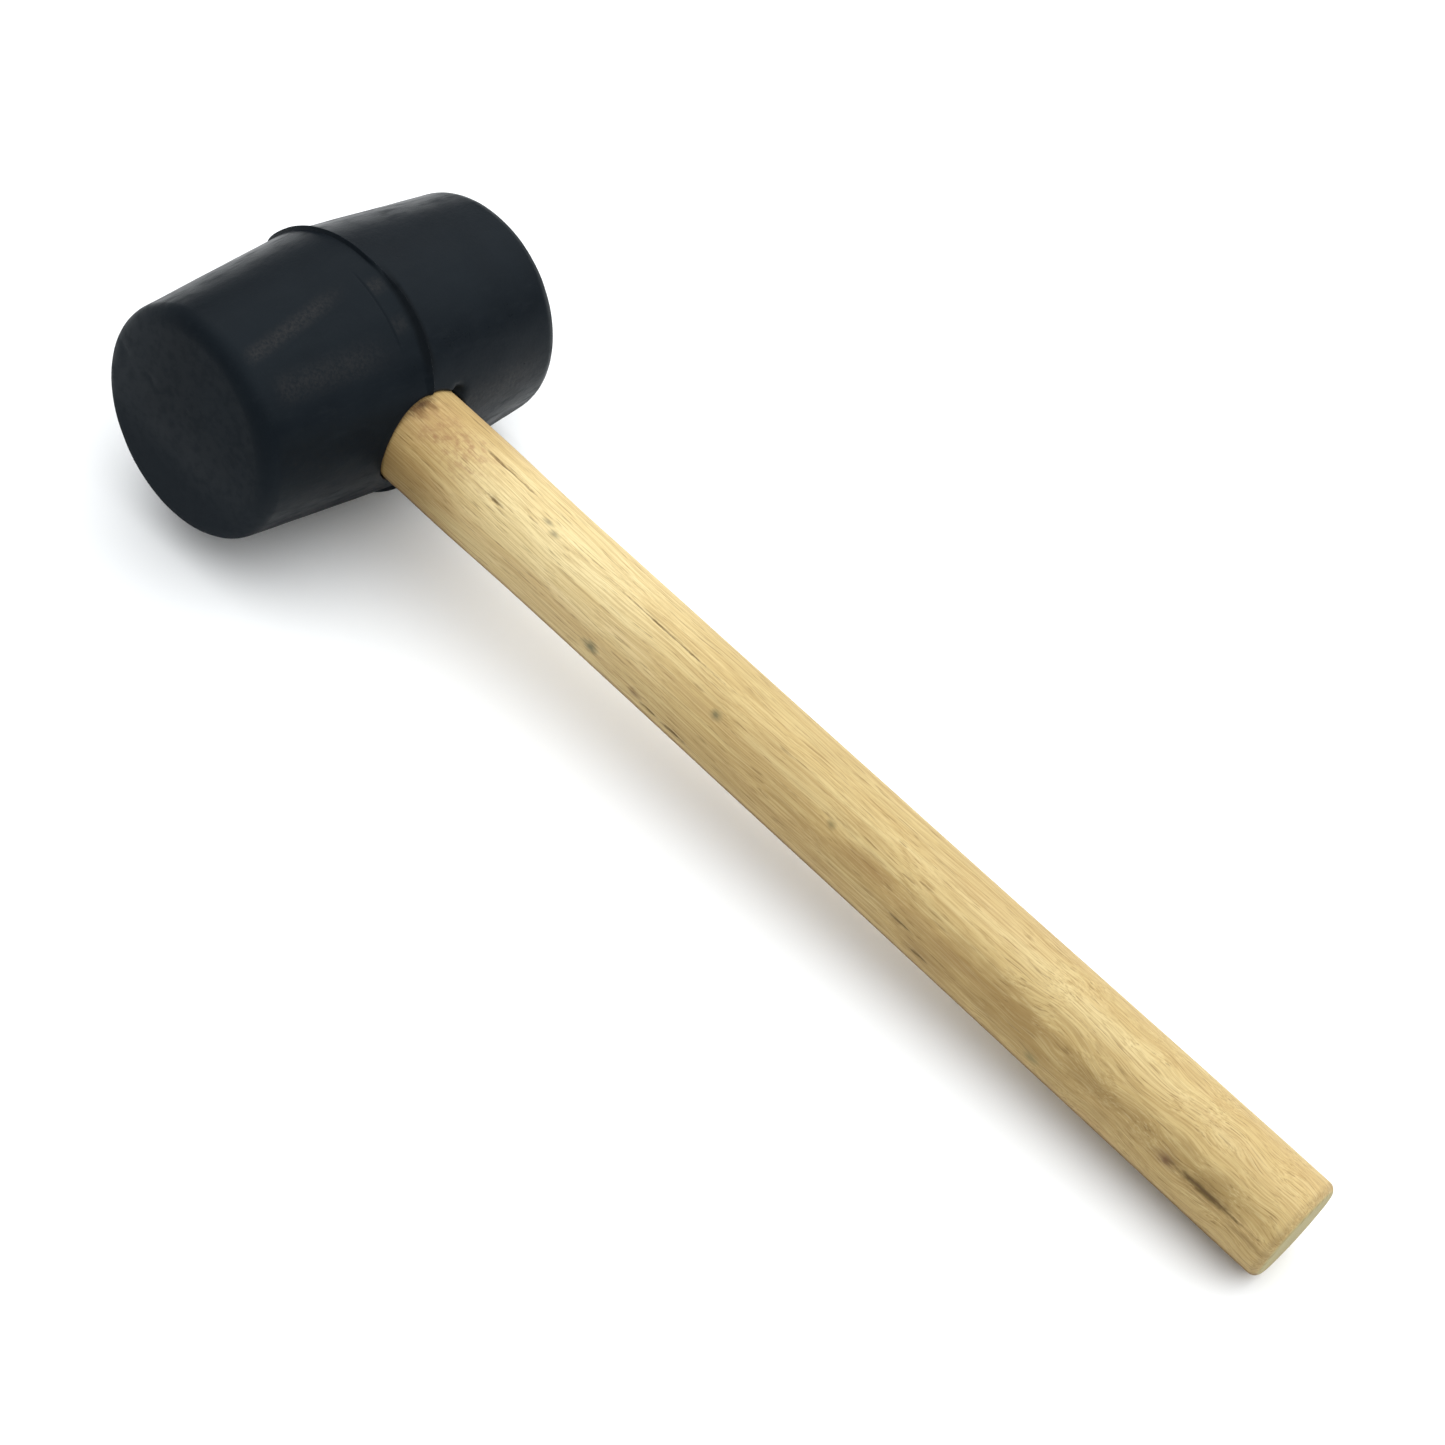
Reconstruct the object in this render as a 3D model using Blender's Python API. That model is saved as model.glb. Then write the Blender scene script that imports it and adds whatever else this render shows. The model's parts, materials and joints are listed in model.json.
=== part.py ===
"""A rubber mallet, lying at rest on its side.

Every piece is modelled in the tool's own axes and hangs from the empty "mallet". In those
axes +X runs along the handle from the head to the butt, Y along the head's axis, and the two
axes cross at the origin. The empty then tips the tool over until it rests as it would on a
bench: on the parting bead, on one edge of the head and on the lower edge of the butt.
"""

import math

import bmesh
import bpy
from mathutils import Matrix, Vector

# The moulded rubber head, a double-tapered barrel turned about Y.
HEAD_LENGTH = 0.0949
FLANK_RADIUS = 0.0325       # at the parting plane, beside the bead
FLANK_TAPER = math.radians(4.95)
FACE_EDGE_RADIUS = 0.0048   # rounding between a striking face and the flank
BEAD_RADIUS = 0.0335        # crest of the parting bead
BEAD_ROUND = 0.0011         # section radius of the bead

# The turned wooden handle, from the crown of the head to the butt.
HANDLE_REACH = 0.300        # butt, measured from the head's axis
SHOULDER_RADIUS = 0.0129    # where the handle leaves the head
GRIP_RADIUS = 0.0125
BUTT_RADIUS = 0.0128
BUTT_EDGE_RADIUS = 0.0021
TENON_RADIUS = 0.0120       # in the middle of the eye
TENON_END_RADIUS = 0.0124   # at the crown, spread by the wedges
TENON_REACH = 0.0300        # the tenon's end, measured from the head's axis
TENON_CHAMFER = 0.0006

# The two wedges that spread the tenon, driven in from the crown.
KERF_DEPTH = 0.040
KERF_MOUTH = 0.0048
KERF_FOOT = 0.0012
WOOD_WEDGE_LENGTH = 0.033
WOOD_WEDGE_WIDTH = 0.0216
STEEL_WEDGE_LENGTH = 0.020
STEEL_WEDGE_WIDTH = 0.0136
STEEL_WEDGE_MOUTH = 0.0026
STEEL_WEDGE_FOOT = 0.0010
STEEL_BARBS = 4
BARB_DEPTH = 0.00025

GAP = 0.0003                # clearance between touching pieces
HEAD_STEPS = 72             # facets round the head
HANDLE_STEPS = 48           # facets round the handle

CROWN_X = -TENON_REACH      # the tenon ends just inside the mouth of the eye


def clear_scene():
    for obj in list(bpy.data.objects):
        bpy.data.objects.remove(obj, do_unlink=True)


def make_material(name, colour, roughness, metallic=0.0):
    material = bpy.data.materials.new(name)
    material.use_nodes = True
    shader = material.node_tree.nodes["Principled BSDF"]
    shader.inputs["Base Color"].default_value = (*colour, 1.0)
    shader.inputs["Roughness"].default_value = roughness
    shader.inputs["Metallic"].default_value = metallic
    return material


def arc(centre, radius, start, end, steps):
    """Points on an arc in the (along, out) plane, angles in radians from the along axis."""
    points = []
    for step in range(steps + 1):
        angle = start + (end - start) * step / steps
        along = centre[0] + radius * math.cos(angle)
        out = centre[1] + radius * math.sin(angle)
        points.append((along, out))
    return points


def new_object(name, bm, material, parent, smooth_angle):
    bmesh.ops.recalc_face_normals(bm, faces=bm.faces)
    mesh = bpy.data.meshes.new(name)
    bm.to_mesh(mesh)
    bm.free()
    obj = bpy.data.objects.new(name, mesh)
    bpy.context.scene.collection.objects.link(obj)
    obj.parent = parent
    if material:
        mesh.materials.append(material)
    mesh.shade_smooth()
    mesh.set_sharp_from_angle(angle=smooth_angle)
    return obj


def turned(name, outline, axis, steps, material, parent):
    """A solid of revolution. The outline's (along, out) points run between two points on the axis."""
    bm = bmesh.new()
    verts = [bm.verts.new((out, 0.0, along)) for along, out in outline]
    edges = [bm.edges.new(pair) for pair in zip(verts, verts[1:])]
    bmesh.ops.spin(
        bm,
        geom=verts + edges,
        cent=(0.0, 0.0, 0.0),
        axis=(0.0, 0.0, 1.0),
        angle=math.tau,
        steps=steps,
        use_merge=True,
    )
    bmesh.ops.remove_doubles(bm, verts=bm.verts, dist=1e-7)
    obj = new_object(name, bm, material, parent, math.radians(30))
    obj.rotation_mode = "QUATERNION"
    obj.rotation_quaternion = Vector(axis).to_track_quat("Z", "Y")
    return obj


def extruded(name, outline, across, width, material, parent):
    """A flat outline of (x, thickness) points, extruded symmetrically along the axis named by across."""
    bm = bmesh.new()
    near = []
    for x, thickness in outline:
        place = (x, -width / 2, thickness) if across == "Y" else (x, thickness, -width / 2)
        near.append(bm.verts.new(place))
    face = bm.faces.new(near)
    made = bmesh.ops.extrude_face_region(bm, geom=[face])
    moved = [item for item in made["geom"] if isinstance(item, bmesh.types.BMVert)]
    step = Vector((0.0, width, 0.0)) if across == "Y" else Vector((0.0, 0.0, width))
    bmesh.ops.translate(bm, verts=moved, vec=step)
    return new_object(name, bm, material, parent, math.radians(20))


def taper_outline(length, mouth, foot, overrun=0.0):
    """A blade that narrows from its mouth, at the crown, to its foot, length along +X."""
    slope = (mouth - foot) / length
    start = CROWN_X - overrun
    half_mouth = (mouth + slope * overrun) / 2
    end = CROWN_X + length
    return [(start, -half_mouth), (end, -foot / 2), (end, foot / 2), (start, half_mouth)]


def barbed_outline(length, mouth, foot, barbs, depth):
    """The same blade with saw-tooth steps down both sides, which stop it backing out."""
    upper = []
    for index in range(barbs):
        top = CROWN_X + length * index / barbs
        bottom = CROWN_X + length * (index + 1) / barbs
        half_top = (mouth + (foot - mouth) * index / barbs) / 2
        half_bottom = (mouth + (foot - mouth) * (index + 1) / barbs) / 2
        upper.append((top, half_top))
        upper.append((bottom, half_bottom - depth))
    return upper + [(x, -half) for x, half in reversed(upper)]


def cut(target, cutter):
    """Takes the cutter out of the target and keeps it as a wire guide."""
    cutter.hide_render = True
    cutter.display_type = "WIRE"
    modifier = target.modifiers.new(cutter.name, "BOOLEAN")
    modifier.operation = "DIFFERENCE"
    modifier.solver = "EXACT"
    modifier.object = cutter


def head_edge():
    """(along, out) of the centre of the rounding at a striking face's edge."""
    along = HEAD_LENGTH / 2 - FACE_EDGE_RADIUS
    flank = FLANK_RADIUS - along * math.tan(FLANK_TAPER)
    return along, flank - FACE_EDGE_RADIUS / math.cos(FLANK_TAPER)


def head_outline():
    """From the middle of one striking face, over the bead, to the middle of the other."""
    edge = head_edge()
    corner = arc(edge, FACE_EDGE_RADIUS, 0.0, math.pi / 2 - FLANK_TAPER, 6)
    bead_centre = BEAD_RADIUS - BEAD_ROUND
    reach = math.acos((FLANK_RADIUS - bead_centre) / BEAD_ROUND)
    bead = arc((0.0, bead_centre), BEAD_ROUND, math.pi / 2 - reach, math.pi / 2, 4)
    half = [(HEAD_LENGTH / 2, 0.0)] + corner + bead
    other = [(-along, out) for along, out in reversed(half[:-1])]
    return half + other


def handle_radius_in_eye():
    """(x, radius) down the tenon, from its end at the crown to where it leaves the head."""
    return [
        (CROWN_X + TENON_CHAMFER, TENON_END_RADIUS),
        (CROWN_X + HEAD_LENGTH * 0.16, TENON_RADIUS),
        (FLANK_RADIUS * 0.55, TENON_RADIUS),
        (FLANK_RADIUS * 0.86, SHOULDER_RADIUS),
    ]


def handle_outline():
    """From the middle of the tenon's end to the middle of the butt."""
    start = [(CROWN_X, 0.0), (CROWN_X, TENON_END_RADIUS - TENON_CHAMFER)]
    butt_centre = (HANDLE_REACH - BUTT_EDGE_RADIUS, BUTT_RADIUS - BUTT_EDGE_RADIUS)
    shaft = [
        (HANDLE_REACH * 0.15, SHOULDER_RADIUS),
        (HANDLE_REACH * 0.26, GRIP_RADIUS),
        (HANDLE_REACH * 0.62, GRIP_RADIUS),
    ]
    butt = arc(butt_centre, BUTT_EDGE_RADIUS, math.pi / 2, 0.0, 5)
    return start + handle_radius_in_eye() + shaft + butt + [(HANDLE_REACH, 0.0)]


def eye_outline():
    """The tenon's shape one gap larger, running out of the head at both ends."""
    inside = [(x, radius + GAP) for x, radius in handle_radius_in_eye()]
    first, last = inside[0], inside[-1]
    overrun = BEAD_RADIUS
    ends_at = HANDLE_REACH * 0.15
    lead = [(-2 * overrun, 0.0), (-2 * overrun, first[1])]
    return lead + inside + [(ends_at, last[1]), (ends_at, 0.0)]


def make_head(parent):
    rubber = make_material("black_rubber", (0.018, 0.023, 0.027), 0.55)
    head = turned("rubber_head", head_outline(), (0, 1, 0), HEAD_STEPS, rubber, parent)
    eye = turned("eye_cutter", eye_outline(), (1, 0, 0), HANDLE_STEPS, None, parent)
    cut(head, eye)


def make_handle(parent):
    wood = make_material("pale_hardwood", (0.72, 0.53, 0.27), 0.62)
    handle = turned("handle", handle_outline(), (1, 0, 0), HANDLE_STEPS, wood, parent)
    kerf = taper_outline(KERF_DEPTH, KERF_MOUTH, KERF_FOOT, overrun=GAP * 10)
    cut(handle, extruded("kerf_cutter", kerf, "Y", 4 * TENON_END_RADIUS, None, parent))
    return handle


def make_wood_wedge(parent):
    wood = make_material("wedge_wood", (0.55, 0.36, 0.18), 0.65)
    slope = (KERF_MOUTH - KERF_FOOT) / KERF_DEPTH
    mouth = KERF_MOUTH - 2 * GAP
    foot = mouth - slope * WOOD_WEDGE_LENGTH
    outline = taper_outline(WOOD_WEDGE_LENGTH, mouth, foot)
    return extruded("wood_wedge", outline, "Y", WOOD_WEDGE_WIDTH, wood, parent)


def make_steel_wedge(parent):
    """The steel wedge is driven across the wooden one, so it lies in the XZ plane."""
    steel = make_material("wedge_steel", (0.52, 0.52, 0.50), 0.38, metallic=1.0)
    blade = barbed_outline(
        STEEL_WEDGE_LENGTH, STEEL_WEDGE_MOUTH, STEEL_WEDGE_FOOT, STEEL_BARBS, BARB_DEPTH
    )
    extruded("steel_wedge", blade, "Z", STEEL_WEDGE_WIDTH, steel, parent)
    slot = taper_outline(
        STEEL_WEDGE_LENGTH + GAP,
        STEEL_WEDGE_MOUTH + 2 * GAP,
        STEEL_WEDGE_FOOT + 2 * GAP,
        overrun=GAP * 10,
    )
    width = STEEL_WEDGE_WIDTH + 2 * GAP
    return extruded("steel_slot_cutter", slot, "Z", width, None, parent)


def rest_rotation():
    """The tool's axes when it lies on the bead, the far edge of the head and the butt's lower edge.

    Each support is a round of known centre and radius, so both tilts come from the line that
    touches two circles: the bead and the face edge, then the head and the butt.
    """
    edge_along, edge_out = head_edge()
    bead_out = BEAD_RADIUS - BEAD_ROUND
    drop = bead_out - edge_out
    roll = math.acos((FACE_EDGE_RADIUS - BEAD_ROUND) / math.hypot(drop, edge_along))
    roll -= math.atan2(edge_along, drop)
    axis_height = bead_out * math.cos(roll) + BEAD_ROUND

    butt_along = HANDLE_REACH - BUTT_EDGE_RADIUS
    butt_out = BUTT_RADIUS - BUTT_EDGE_RADIUS
    pitch = math.asin((axis_height - BUTT_EDGE_RADIUS) / math.hypot(butt_along, butt_out))
    pitch -= math.atan2(butt_out, butt_along)

    up = Vector((-math.sin(pitch), -math.sin(roll), 0.0))
    up.z = math.sqrt(1.0 - up.length_squared)
    forward = (Vector((1, 0, 0)) - up.x * up).normalized()
    return Matrix((forward, up.cross(forward), up))


def stand_on_origin(empty):
    """Moves the whole tool so that the origin is at the middle of its box's underside."""
    bpy.context.view_layer.update()
    graph = bpy.context.evaluated_depsgraph_get()
    corners = []
    for obj in empty.children:
        if obj.hide_render:
            continue
        evaluated = obj.evaluated_get(graph)
        corners += [evaluated.matrix_world @ vert.co for vert in evaluated.data.vertices]
    low = [min(corner[axis] for corner in corners) for axis in range(3)]
    high = [max(corner[axis] for corner in corners) for axis in range(3)]
    middle = Vector(((low[0] + high[0]) / 2, (low[1] + high[1]) / 2, low[2]))
    empty.location = -middle


def main():
    clear_scene()
    mallet = bpy.data.objects.new("mallet", None)
    bpy.context.scene.collection.objects.link(mallet)
    mallet.rotation_mode = "QUATERNION"
    mallet.rotation_quaternion = rest_rotation().to_quaternion()
    make_head(mallet)
    handle = make_handle(mallet)
    wood_wedge = make_wood_wedge(mallet)
    slot = make_steel_wedge(mallet)
    cut(handle, slot)
    cut(wood_wedge, slot)
    stand_on_origin(mallet)


main()
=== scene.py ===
"""The looks of a rubber mallet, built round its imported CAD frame.

Shapes are made in the tool's own axes: +X along the handle from the head to the butt, Y along
the head with the near striking face towards -Y, and +Z up, the two axes crossing at the origin.
A point round the handle has an angle from +Z towards -Y, and one round the head an angle from
+Z towards +X. Lengths are in metres unless a name ends in _MM.
"""

import json
import math

import bmesh
import bpy
import numpy as np
from mathutils import Matrix, Vector, noise


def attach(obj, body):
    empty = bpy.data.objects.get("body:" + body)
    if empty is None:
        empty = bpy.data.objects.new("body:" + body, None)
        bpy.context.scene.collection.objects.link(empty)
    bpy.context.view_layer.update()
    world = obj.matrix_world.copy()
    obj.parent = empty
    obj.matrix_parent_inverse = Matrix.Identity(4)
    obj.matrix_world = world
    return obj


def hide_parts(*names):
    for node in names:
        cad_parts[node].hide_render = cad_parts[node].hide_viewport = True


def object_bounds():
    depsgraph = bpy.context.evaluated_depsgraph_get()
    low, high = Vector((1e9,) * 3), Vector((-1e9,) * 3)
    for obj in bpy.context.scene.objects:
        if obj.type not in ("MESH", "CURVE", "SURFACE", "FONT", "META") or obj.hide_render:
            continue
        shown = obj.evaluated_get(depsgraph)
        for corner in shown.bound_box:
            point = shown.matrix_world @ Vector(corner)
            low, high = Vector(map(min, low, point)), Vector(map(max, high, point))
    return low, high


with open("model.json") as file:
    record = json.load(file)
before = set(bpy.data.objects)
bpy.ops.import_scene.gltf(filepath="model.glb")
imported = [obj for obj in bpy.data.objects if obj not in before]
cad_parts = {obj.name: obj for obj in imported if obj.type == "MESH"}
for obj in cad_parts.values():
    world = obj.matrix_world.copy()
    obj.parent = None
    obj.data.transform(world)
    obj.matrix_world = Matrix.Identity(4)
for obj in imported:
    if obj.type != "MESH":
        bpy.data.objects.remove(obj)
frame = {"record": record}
CAD_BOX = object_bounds()
MM = 0.001

# The tool's own shape, as part.py has it.
FLANK_RADIUS = 0.0325
FLANK_TAPER = math.radians(4.95)
FACE_EDGE_RADIUS = 0.0048
BEAD_RADIUS = 0.0335
SHOULDER_RADIUS = 0.0129
GRIP_RADIUS = 0.0125
BUTT_RADIUS = 0.0128
BUTT_EDGE_RADIUS = 0.0021
TENON_RADIUS = 0.0120
TENON_END_RADIUS = 0.0124
CROWN_X = -0.0300
KERF_DEPTH = 0.040
KERF_WIDTH = 0.03           # past both sides of the tenon
WOOD_WEDGE_LENGTH = 0.033
WOOD_WEDGE_WIDTH = 0.0216
WOOD_WEDGE_MOUTH = 0.0042
WOOD_WEDGE_FOOT = 0.0012
STEEL_WEDGE_LENGTH = 0.020
STEEL_WEDGE_WIDTH = 0.0136
STEEL_WEDGE_MOUTH = 0.0026
STEEL_WEDGE_FOOT = 0.0010

# Fine shape that only the looks have.
RIDGE_NEAR = 0.0005         # how far the parting ridge reaches to either side of its crest
RIDGE_FAR = 0.0005
RIDGE_NEAR_WIDEST = 0.0019
RIDGE_DRIFT = 0.0012        # how far the crest wanders towards the far face
RIDGE_CREST = 0.00010       # rounding of the crest
BELT_EDGE = -0.0057         # a thin belt beside the ridge, with a crease along its edge
BELT_STEP = 0.00012
BELT_FLARE = 0.00035
CREASE_DEPTH = 0.00014
CREASE_REACH = 0.00022
EYE_CLEARANCE = 0.00022
EYE_ROUND = 0.0011          # rounding of the rubber where the handle enters it
PIT = (0.0299, 0.0094, 0.0096)      # a small pit in the rubber, beside the handle
PIT_DEPTH = 0.0019
PIT_REACH = 0.0019
HEAD_INSET = 0.00016        # how far the mean surface stays inside the CAD shape
HANDLE_INSET = 0.00012
WEDGE_CLEARANCE = 0.00004
SLOT_SPARE = 0.0003         # how much deeper the steel wedge's slot is than the wedge
CUT_OVERRUN = 0.003         # how far beyond the crown the cutters start
HEAD_AROUND = 256
HANDLE_AROUND = 176

# The camera, in the tool's axes.
CAMERA_PLACE = Vector((0.33763, -0.42064, 0.45562))
CAMERA_AZIMUTH = math.radians(26.03)
CAMERA_ELEVATION = math.radians(44.39)
CAMERA_ROLL = math.radians(23.52)
CAMERA_LENS_MM = 72.49
SENSOR_MM = 36.0

# The middle of the sky's bright part, in the tool's axes, and where it fades into the dim horizon.
SKY_MIDDLE = (0.05, 0.13, 0.99)
HORIZON_TOP = math.radians(16)
OVERHEAD_FOOT = math.radians(62)
HORIZON_STRENGTH = 0.32
OVERHEAD_STRENGTH = 2.28
SKY_COLOUR = (0.96, 0.985, 1.0, 1.0)

# Soft boxes: name, direction in the tool's axes, watts.
SOFT_BOXES = (
    ("overhead_strip", (0.104, 0.501, 0.859), 0.5),
    ("side_strip", (0.682, 0.504, 0.530), 0.3),
)
SOFT_BOX_SIZE = 0.30
SOFT_BOX_DISTANCE = 1.6

FLOOR_HALF = 60.0           # large enough that its edges are never seen
FLOOR_COLOUR = (0.93, 0.93, 0.93, 1.0)


# ---------------------------------------------------------------- frame


def face_mount(name):
    """A flat mount's place, and the direction that it faces."""
    for entry in frame["record"]["mounts"]:
        if entry["name"] == name:
            return Vector(entry["pos_m"]), Vector(entry["axis"]).normalized()
    raise ValueError(name)


NEAR_FACE, _ = face_mount("near_face")
FAR_FACE, HEAD_AXIS = face_mount("far_face")
BUTT_FACE, HANDLE_AXIS = face_mount("butt_face")
TOOL_ORIGIN = (NEAR_FACE + FAR_FACE) / 2
TOOL_AXES = Matrix((HANDLE_AXIS, HEAD_AXIS, HANDLE_AXIS.cross(HEAD_AXIS))).transposed()
TOOL = Matrix.Translation(TOOL_ORIGIN) @ TOOL_AXES.to_4x4()
HALF_HEAD = (FAR_FACE - NEAR_FACE).length / 2
REACH = (BUTT_FACE - TOOL_ORIGIN).length


# ---------------------------------------------------------------- camera, lights, floor


def make_camera():
    """A camera at the place and angle from which the tool is seen, in the tool's axes."""
    back = Vector((
        math.sin(CAMERA_AZIMUTH) * math.cos(CAMERA_ELEVATION),
        -math.cos(CAMERA_AZIMUTH) * math.cos(CAMERA_ELEVATION),
        math.sin(CAMERA_ELEVATION),
    ))
    level = Vector((math.cos(CAMERA_AZIMUTH), math.sin(CAMERA_AZIMUTH), 0.0))
    upright = back.cross(level)
    right = level * math.cos(CAMERA_ROLL) + upright * math.sin(CAMERA_ROLL)
    turned = Matrix((right, back.cross(right), back)).transposed().to_4x4()
    data = bpy.data.cameras.new("camera")
    data.lens = CAMERA_LENS_MM
    data.sensor_width = SENSOR_MM
    data.clip_start = 0.01
    data.clip_end = 50.0
    camera = bpy.data.objects.new("camera", data)
    camera.matrix_world = TOOL @ Matrix.Translation(CAMERA_PLACE) @ turned
    bpy.context.scene.collection.objects.link(camera)
    bpy.context.scene.camera = camera


def soft_box(name, direction, watts):
    """A square light that hangs in a direction, in the tool's axes, and faces the tool."""
    aim = TOOL @ Vector((REACH * 0.35, 0.0, 0.0))
    away = (TOOL_AXES @ Vector(direction)).normalized()
    data = bpy.data.lights.new(name, "AREA")
    data.shape = "SQUARE"
    data.size = SOFT_BOX_SIZE
    data.energy = watts
    light = bpy.data.objects.new(name, data)
    light.location = aim + away * SOFT_BOX_DISTANCE
    light.rotation_mode = "QUATERNION"
    light.rotation_quaternion = away.to_track_quat("Z", "Y")
    bpy.context.scene.collection.objects.link(light)


def make_world():
    """A sky that is dim near the horizon, like a room's walls, and bright round one direction."""
    world = bpy.data.worlds.new("world")
    world.use_nodes = True
    nodes, links = world.node_tree.nodes, world.node_tree.links
    climb = nodes.new("ShaderNodeVectorMath")
    climb.operation = "DOT_PRODUCT"
    links.new(nodes.new("ShaderNodeTexCoord").outputs["Generated"], climb.inputs[0])
    climb.inputs[1].default_value = (TOOL_AXES @ Vector(SKY_MIDDLE)).normalized()
    glow = nodes.new("ShaderNodeMapRange")
    glow.interpolation_type = "SMOOTHSTEP"
    links.new(climb.outputs["Value"], glow.inputs["Value"])
    glow.inputs["From Min"].default_value = math.sin(HORIZON_TOP)
    glow.inputs["From Max"].default_value = math.sin(OVERHEAD_FOOT)
    glow.inputs["To Min"].default_value = HORIZON_STRENGTH
    glow.inputs["To Max"].default_value = OVERHEAD_STRENGTH
    sky = nodes["Background"]
    sky.inputs["Color"].default_value = SKY_COLOUR
    links.new(glow.outputs["Result"], sky.inputs["Strength"])
    bpy.context.scene.world = world


def make_floor():
    """A plain pale floor at the height on which the CAD model lies."""
    bm = bmesh.new()
    bmesh.ops.create_grid(bm, x_segments=1, y_segments=1, size=FLOOR_HALF)
    mesh = bpy.data.meshes.new("floor")
    bm.to_mesh(mesh)
    bm.free()
    floor = bpy.data.objects.new("floor", mesh)
    floor.location.z = CAD_BOX[0].z
    bpy.context.scene.collection.objects.link(floor)
    material = bpy.data.materials.new("floor")
    material.use_nodes = True
    shader = material.node_tree.nodes["Principled BSDF"]
    shader.inputs["Base Color"].default_value = FLOOR_COLOUR
    shader.inputs["Roughness"].default_value = 0.9
    shader.inputs["Specular IOR Level"].default_value = 0.1
    mesh.materials.append(material)


# ---------------------------------------------------------------- mesh helpers


def blend(value, low, high):
    """0 below low, 1 above high, and a smooth rise between them."""
    share = min(max((value - low) / (high - low), 0.0), 1.0)
    return share * share * (3.0 - 2.0 * share)


def follow(stations, along):
    """A smooth curve through (along, radius) stations."""
    for (start, first), (end, second) in zip(stations, stations[1:]):
        if along <= end:
            return first + (second - first) * blend(along, start, end)
    return stations[-1][1]


def spread(start, end, step):
    """Values from start to end, about step apart, the last one left out."""
    count = max(1, round(abs(end - start) / step))
    return [start + (end - start) * index / count for index in range(count)]


def corner(centre, radius, start, end, count):
    """Points round an arc, angles in radians from the along axis, the last one left out."""
    angles = [start + (end - start) * index / count for index in range(count)]
    return [(centre[0] + radius * math.cos(a), centre[1] + radius * math.sin(a)) for a in angles]


def ring_object(name, rings):
    """A closed surface through rings of points in the tool's axes, capped by a fan at each end."""
    bm = bmesh.new()
    made = [[bm.verts.new(point) for point in ring] for ring in rings]
    for near, far in zip(made, made[1:]):
        for index in range(len(near)):
            after = (index + 1) % len(near)
            bm.faces.new((near[index], near[after], far[after], far[index]))
    for ring in (made[0], made[-1]):
        centre = bm.verts.new(sum((vert.co for vert in ring), Vector()) / len(ring))
        for index in range(len(ring)):
            bm.faces.new((ring[index], ring[(index + 1) % len(ring)], centre))
    bmesh.ops.recalc_face_normals(bm, faces=bm.faces)
    mesh = bpy.data.meshes.new(name)
    bm.to_mesh(mesh)
    bm.free()
    obj = bpy.data.objects.new(name, mesh)
    bpy.context.scene.collection.objects.link(obj)
    return obj


def cut(target, cutter):
    """Takes the cutter out of the target for good, and deletes the cutter."""
    modifier = target.modifiers.new("cut", "BOOLEAN")
    modifier.operation = "DIFFERENCE"
    modifier.solver = "EXACT"
    modifier.object = cutter
    bpy.context.view_layer.update()
    graph = bpy.context.evaluated_depsgraph_get()
    result = bpy.data.meshes.new_from_object(target.evaluated_get(graph))
    target.modifiers.clear()
    old = target.data
    target.data = result
    bpy.data.meshes.remove(old)
    bpy.data.objects.remove(cutter, do_unlink=True)


def settle(obj, material, sharp_degrees):
    """Finishes a piece whose mesh is still in the tool's axes.

    Each point's place in those axes, in millimetres, is kept in the attribute tool_mm, which the
    materials read. The mesh then moves into the frame's axes.
    """
    mesh = obj.data
    places = np.empty(len(mesh.vertices) * 3, np.float32)
    mesh.vertices.foreach_get("co", places)
    attribute = mesh.attributes.new("tool_mm", "FLOAT_VECTOR", "POINT")
    attribute.data.foreach_set("vector", places / MM)
    mesh.transform(TOOL)
    mesh.materials.clear()
    mesh.materials.append(material)
    mesh.shade_smooth()
    mesh.set_sharp_from_angle(angle=math.radians(sharp_degrees))
    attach(obj, "root")


def ripple(point, size, seed):
    """Smooth noise from about -1 to 1, with bumps about as wide as size."""
    return noise.noise(Vector(point) / size + Vector((seed, seed * 0.37, seed * 0.71)))


def bump_at(point, centre, reach):
    """1 at the centre, falling smoothly to 0 at about twice the reach."""
    return math.exp(-((Vector(point) - Vector(centre)).length / reach) ** 2)


# ---------------------------------------------------------------- rubber head

# Nicks in the near face (-1) and in the far one (1): x, z, reach and depth in millimetres.
FACE_NICKS_MM = {
    -1: (
        (-22.5, 5.7, 1.3, 0.35),
        (-13.2, 4.5, 1.0, 0.25),
        (-0.1, 4.5, 0.9, 0.15),
        (9.0, -14.0, 1.6, 0.15),
    ),
    1: (
        (12.0, 9.0, 1.4, 0.3),
        (-9.0, -12.0, 1.0, 0.3),
        (-16.0, 8.0, 1.8, 0.2),
        (3.0, 17.0, 0.8, 0.3),
    ),
}

# The belt only shows over parts of the way round: middle and half width of each part, in degrees.
BELT_PARTS = ((24.0, 18.0), (152.0, 16.0), (247.0, 24.0))
BELT_FADE = 4.0

# Where the ridge starts to widen, is widest, starts to narrow and is thin again, in degrees.
RIDGE_SMEAR = (0.0, 30.0, 55.0, 75.0)


def belt_share(angle):
    """1 where the belt shows fully, 0 where the flank is plain."""
    share = 0.0
    for middle, half in BELT_PARTS:
        off = abs(math.remainder(math.degrees(angle) - middle, 360.0))
        share = max(share, 1.0 - blend(off, half - BELT_FADE, half + BELT_FADE))
    return share


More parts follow.
